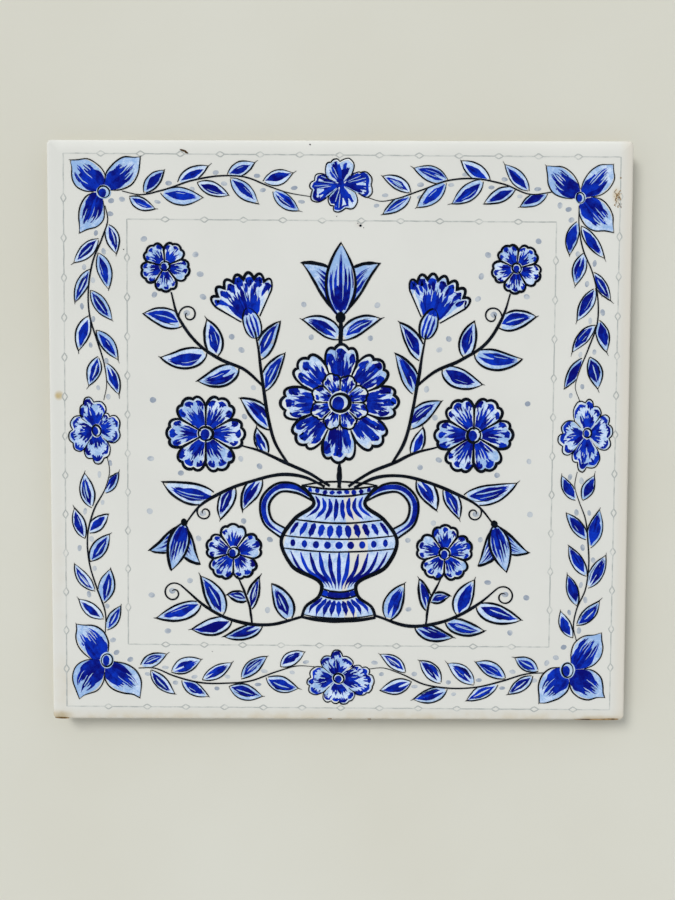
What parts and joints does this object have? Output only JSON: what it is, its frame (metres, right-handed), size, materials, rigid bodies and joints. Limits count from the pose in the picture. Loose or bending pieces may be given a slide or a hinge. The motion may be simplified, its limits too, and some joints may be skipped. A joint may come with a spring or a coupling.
{
  "type": "azulejo tile",
  "caption": "Square glazed earthenware wall tile with cushion edges, a keyed back and a blue and white floral border.",
  "frame": {"origin": "middle of the tile at the level of its back's lands, so the tile lies on the plane z = 0", "axes": "+Z out of the glazed face, +Y towards the top of the picture, +X towards its right"},
  "size_m": [0.15, 0.15, 0.0065],
  "materials": {
    "glazed_earthenware": "gloss white glaze on a buff earthenware body that shows on the lower sides and the back"
  },
  "bodies": {
    "root": {"tile": "glazed_earthenware"}
  },
  "joints": []
}
